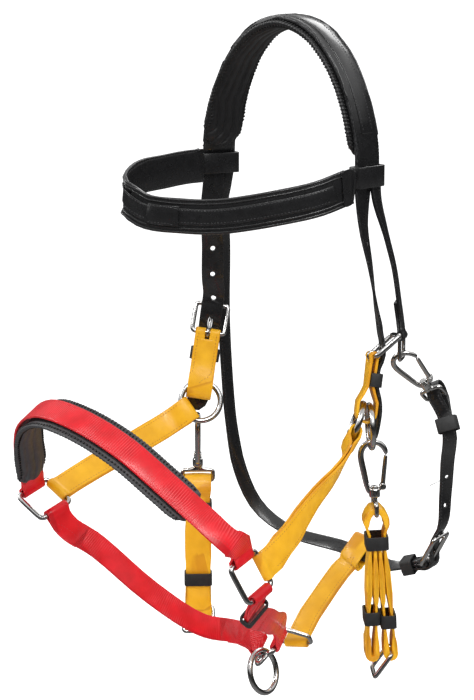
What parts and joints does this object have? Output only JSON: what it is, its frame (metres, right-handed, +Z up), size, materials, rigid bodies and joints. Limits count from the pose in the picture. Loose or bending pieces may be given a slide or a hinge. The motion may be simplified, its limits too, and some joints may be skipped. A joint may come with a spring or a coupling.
{
  "type": "marathon bridle",
  "caption": "Driving bridle with a halter half: padded crown and noseband, browband, buckled cheeks, hooked bit hangers, clipped throat strap and a lead ring under the chin.",
  "frame": {"origin": "middle of the poll pad's underside, where it rests on the horse's poll", "axes": "+Z up, -Y the way the horse faces, +X its left side"},
  "size_m": [0.3007, 0.4135, 0.6625],
  "materials": {
    "black_leather": "glossy coated leather",
    "black_pad": "soft padded leather with pricked edges",
    "yellow_webbing": "coated webbing, satin",
    "red_webbing": "ribbed webbing, glossy",
    "black_rubber": "matt moulded rubber",
    "polished_steel": "polished"
  },
  "bodies": {
    "headpiece": {"crown_strap": "black_leather", "poll_pad": "black_pad", "browband": "black_leather", "browband_inlay": "black_leather", "badge_plate": "black_leather", "throat_stub": "black_leather", "throat_strap": "black_leather", "throat_adjuster": "black_leather", "throat_swivel": "polished_steel", "throat_buckle": "polished_steel", "jowl_strap": "yellow_webbing", "noseband": "red_webbing", "nose_pad": "black_pad", "chin_strap": "red_webbing", "chin_adjuster": "red_webbing", "chin_fitting": "polished_steel", "cheek_strap_l": "black_leather", "short_cheek_l": "yellow_webbing", "cheek_buckle_l": "polished_steel", "halter_ring_l": "polished_steel", "halter_cheek_l": "yellow_webbing", "square_ring_l": "polished_steel", "cheek_strap_r": "black_leather", "short_cheek_r": "yellow_webbing", "cheek_buckle_r": "polished_steel", "halter_ring_r": "polished_steel", "halter_cheek_r": "yellow_webbing", "square_ring_r": "polished_steel"},
    "bit_ring_l": {"bit_ring_l": "polished_steel"},
    "bit_hook_l": {"bit_snap_l": "polished_steel"},
    "bit_gate_l": {"bit_gate_l": "polished_steel"},
    "bit_swivel_l": {"bit_swivel_l": "polished_steel"},
    "bit_hanger_l": {"bit_strap_l": "yellow_webbing"},
    "bit_buckle_l": {"bit_buckle_l": "polished_steel"},
    "bit_tongue_l": {"bit_tongue_l": "polished_steel"},
    "bit_keeper_top_l": {"bit_keeper_top_l": "black_rubber"},
    "bit_keeper_outer_l": {"bit_keeper_outer_l": "black_rubber"},
    "bit_keeper_inner_l": {"bit_keeper_inner_l": "black_rubber"},
    "cheek_tongue_l": {"cheek_tongue_l": "polished_steel"},
    "cheek_keeper_l": {"cheek_keeper_l": "black_rubber"},
    "bit_ring_r": {"bit_ring_r": "polished_steel"},
    "bit_hook_r": {"bit_snap_r": "polished_steel"},
    "bit_gate_r": {"bit_gate_r": "polished_steel"},
    "bit_swivel_r": {"bit_swivel_r": "polished_steel"},
    "bit_hanger_r": {"bit_strap_r": "yellow_webbing"},
    "bit_buckle_r": {"bit_buckle_r": "polished_steel"},
    "bit_tongue_r": {"bit_tongue_r": "polished_steel"},
    "bit_keeper_top_r": {"bit_keeper_top_r": "black_rubber"},
    "bit_keeper_outer_r": {"bit_keeper_outer_r": "black_rubber"},
    "bit_keeper_inner_r": {"bit_keeper_inner_r": "black_rubber"},
    "cheek_tongue_r": {"cheek_tongue_r": "polished_steel"},
    "cheek_keeper_r": {"cheek_keeper_r": "black_rubber"},
    "lead_ring": {"lead_ring": "polished_steel"},
    "throat_link": {"throat_link": "polished_steel"},
    "throat_hook": {"throat_snap": "polished_steel"},
    "throat_gate": {"throat_gate": "polished_steel"},
    "throat_tongue": {"throat_tongue": "polished_steel"},
    "adjuster_keeper": {"adjuster_keeper": "black_rubber"},
    "adjuster_loop_keeper": {"adjuster_loop_keeper": "black_leather"},
    "throat_keeper": {"throat_keeper": "black_leather"}
  },
  "joints": [
    {"name": "bit_ring_swing_l", "type": "hinge", "parent": "headpiece", "child": "bit_ring_l", "pos_m": [0.1073, -0.0052, -0.34829], "axis": [-0.7128, 0.6832, -0.1583], "range_deg": [0, 4]},
    {"name": "bit_hook_swing_l", "type": "hinge", "parent": "bit_ring_l", "child": "bit_hook_l", "pos_m": [0.11339, -0.00811, -0.38822], "axis": [-0.7128, 0.6832, -0.1583], "range_deg": [-12, 10]},
    {"name": "bit_gate_open_l", "type": "hinge", "parent": "bit_hook_l", "child": "bit_gate_l", "pos_m": [0.12114, -0.00047, -0.42537], "axis": [0.7071, -0.7071, 0.0021], "range_deg": [0, 22], "stiffness_Nm_per_rad": 0.02, "springref_deg": -20.05},
    {"name": "bit_swivel_turn_l", "type": "hinge", "parent": "bit_hook_l", "child": "bit_swivel_l", "pos_m": [0.11585, -0.00578, -0.43576], "axis": [-0.037, -0.034, 0.9987], "range_deg": [-90, 90]},
    {"name": "bit_hanger_swing_l", "type": "hinge", "parent": "bit_swivel_l", "child": "bit_hanger_l", "pos_m": [0.11642, -0.00527, -0.45094], "axis": [0.7071, -0.7071, 0.0021], "range_deg": [-20, 20]},
    {"name": "bit_buckle_swing_l", "type": "hinge", "parent": "bit_hanger_l", "child": "bit_buckle_l", "pos_m": [0.12773, 0.00564, -0.58833], "axis": [0.7071, -0.7071, 0], "range_deg": [-4, 4]},
    {"name": "bit_tongue_lift_l", "type": "hinge", "parent": "bit_buckle_l", "child": "bit_tongue_l", "pos_m": [0.12773, 0.00564, -0.58833], "axis": [0.7071, -0.7071, 0], "range_deg": [0, 4]},
    {"name": "bit_keeper_top_l_slide", "type": "slide", "parent": "bit_hanger_l", "child": "bit_keeper_top_l", "axis": [0.037, 0.034, -0.9987], "range_m": [-0.0016, 0.0024]},
    {"name": "bit_keeper_outer_l_slide", "type": "slide", "parent": "bit_hanger_l", "child": "bit_keeper_outer_l", "axis": [0.037, 0.034, -0.9987], "range_m": [-0.0024, 0.0024]},
    {"name": "bit_keeper_inner_l_slide", "type": "slide", "parent": "bit_hanger_l", "child": "bit_keeper_inner_l", "axis": [0.037, 0.034, -0.9987], "range_m": [-0.0024, 0.0024]},
    {"name": "cheek_tongue_lift_l", "type": "hinge", "parent": "headpiece", "child": "cheek_tongue_l", "pos_m": [0.1065, 0, -0.302], "axis": [-0.7713, 0.6194, -0.1463], "range_deg": [0, 3]},
    {"name": "cheek_keeper_l_slide", "type": "slide", "parent": "headpiece", "child": "cheek_keeper_l", "axis": [0.0215, -0.2043, -0.9787], "range_m": [-0.0024, 0]},
    {"name": "bit_ring_swing_r", "type": "hinge", "parent": "headpiece", "child": "bit_ring_r", "pos_m": [-0.11287, -0.00174, -0.35803], "axis": [-0.7126, -0.6848, 0.1527], "range_deg": [-4, 2.5]},
    {"name": "bit_hook_swing_r", "type": "hinge", "parent": "bit_ring_r", "child": "bit_hook_r", "pos_m": [-0.11634, -0.00705, -0.39803], "axis": [-0.7126, -0.6848, 0.1527], "range_deg": [-12, 10]},
    {"name": "bit_gate_open_r", "type": "hinge", "parent": "bit_hook_r", "child": "bit_gate_r", "pos_m": [-0.12271, -0.00068, -0.43568], "axis": [0.7071, 0.7071, 0], "range_deg": [0, 22], "stiffness_Nm_per_rad": 0.02, "springref_deg": -20.05},
    {"name": "bit_swivel_turn_r", "type": "hinge", "parent": "bit_hook_r", "child": "bit_swivel_r", "pos_m": [-0.11705, -0.00634, -0.44568], "axis": [0, 0, 1], "range_deg": [-90, 90]},
    {"name": "bit_hanger_swing_r", "type": "hinge", "parent": "bit_swivel_r", "child": "bit_hanger_r", "pos_m": [-0.11705, -0.00634, -0.46088], "axis": [0.7071, 0.7071, 0], "range_deg": [-20, 20]},
    {"name": "bit_buckle_swing_r", "type": "hinge", "parent": "bit_hanger_r", "child": "bit_buckle_r", "pos_m": [-0.12327, -0.00012, -0.59888], "axis": [0.7071, 0.7071, 0], "range_deg": [-4, 4]},
    {"name": "bit_tongue_lift_r", "type": "hinge", "parent": "bit_buckle_r", "child": "bit_tongue_r", "pos_m": [-0.12327, -0.00012, -0.59888], "axis": [0.7071, 0.7071, 0], "range_deg": [0, 4]},
    {"name": "bit_keeper_top_r_slide", "type": "slide", "parent": "bit_hanger_r", "child": "bit_keeper_top_r", "axis": [0, 0, -1], "range_m": [-0.0016, 0.0024]},
    {"name": "bit_keeper_outer_r_slide", "type": "slide", "parent": "bit_hanger_r", "child": "bit_keeper_outer_r", "axis": [0, 0, -1], "range_m": [-0.0024, 0.0024]},
    {"name": "bit_keeper_inner_r_slide", "type": "slide", "parent": "bit_hanger_r", "child": "bit_keeper_inner_r", "axis": [0, 0, -1], "range_m": [-0.0024, 0.0024]},
    {"name": "cheek_tongue_lift_r", "type": "hinge", "parent": "headpiece", "child": "cheek_tongue_r", "pos_m": [-0.112, 0.004, -0.308], "axis": [-0.7711, -0.6209, 0.141], "range_deg": [0, 3]},
    {"name": "cheek_keeper_r_slide", "type": "slide", "parent": "headpiece", "child": "cheek_keeper_r", "axis": [-0.0198, -0.198, -0.98], "range_m": [-0.0024, 0.0024]},
    {"name": "lead_ring_swing", "type": "hinge", "parent": "headpiece", "child": "lead_ring", "pos_m": [0.00421, -0.04064, -0.61123], "axis": [0.9233, 0.026, 0.3831], "range_deg": [-30, 30]},
    {"name": "throat_link_swing", "type": "hinge", "parent": "headpiece", "child": "throat_link", "pos_m": [0.11, 0.039, -0.287], "axis": [-0.4695, 0.8829, 0], "range_deg": [-1, 0.5]},
    {"name": "throat_hook_turn", "type": "hinge", "parent": "headpiece", "child": "throat_hook", "pos_m": [0.1161, 0.07308, -0.34195], "axis": [-0.1122, -0.7165, 0.6885], "range_deg": [-3, 3]},
    {"name": "throat_gate_open", "type": "hinge", "parent": "throat_hook", "child": "throat_gate", "pos_m": [0.12148, 0.06858, -0.33123], "axis": [0.572, -0.6131, -0.5449], "range_deg": [0, 22], "stiffness_Nm_per_rad": 0.02, "springref_deg": -20.05},
    {"name": "throat_tongue_lift", "type": "hinge", "parent": "headpiece", "child": "throat_tongue", "pos_m": [0.09, 0.111, -0.5305], "axis": [0, 0.9863, 0.165], "range_deg": [0, 3]},
    {"name": "adjuster_keeper_slide", "type": "slide", "parent": "headpiece", "child": "adjuster_keeper", "axis": [-0.5509, 0.5992, -0.5809], "range_m": [-0.0008, 0.0024]},
    {"name": "adjuster_loop_keeper_slide", "type": "slide", "parent": "headpiece", "child": "adjuster_loop_keeper", "axis": [0.4324, -0.1252, -0.8929], "range_m": [-0.0024, 0.0008]},
    {"name": "throat_keeper_slide", "type": "slide", "parent": "headpiece", "child": "throat_keeper", "axis": [0.902, 0.3142, 0.2962], "range_m": [-0.0024, 0.0016]}
  ]
}
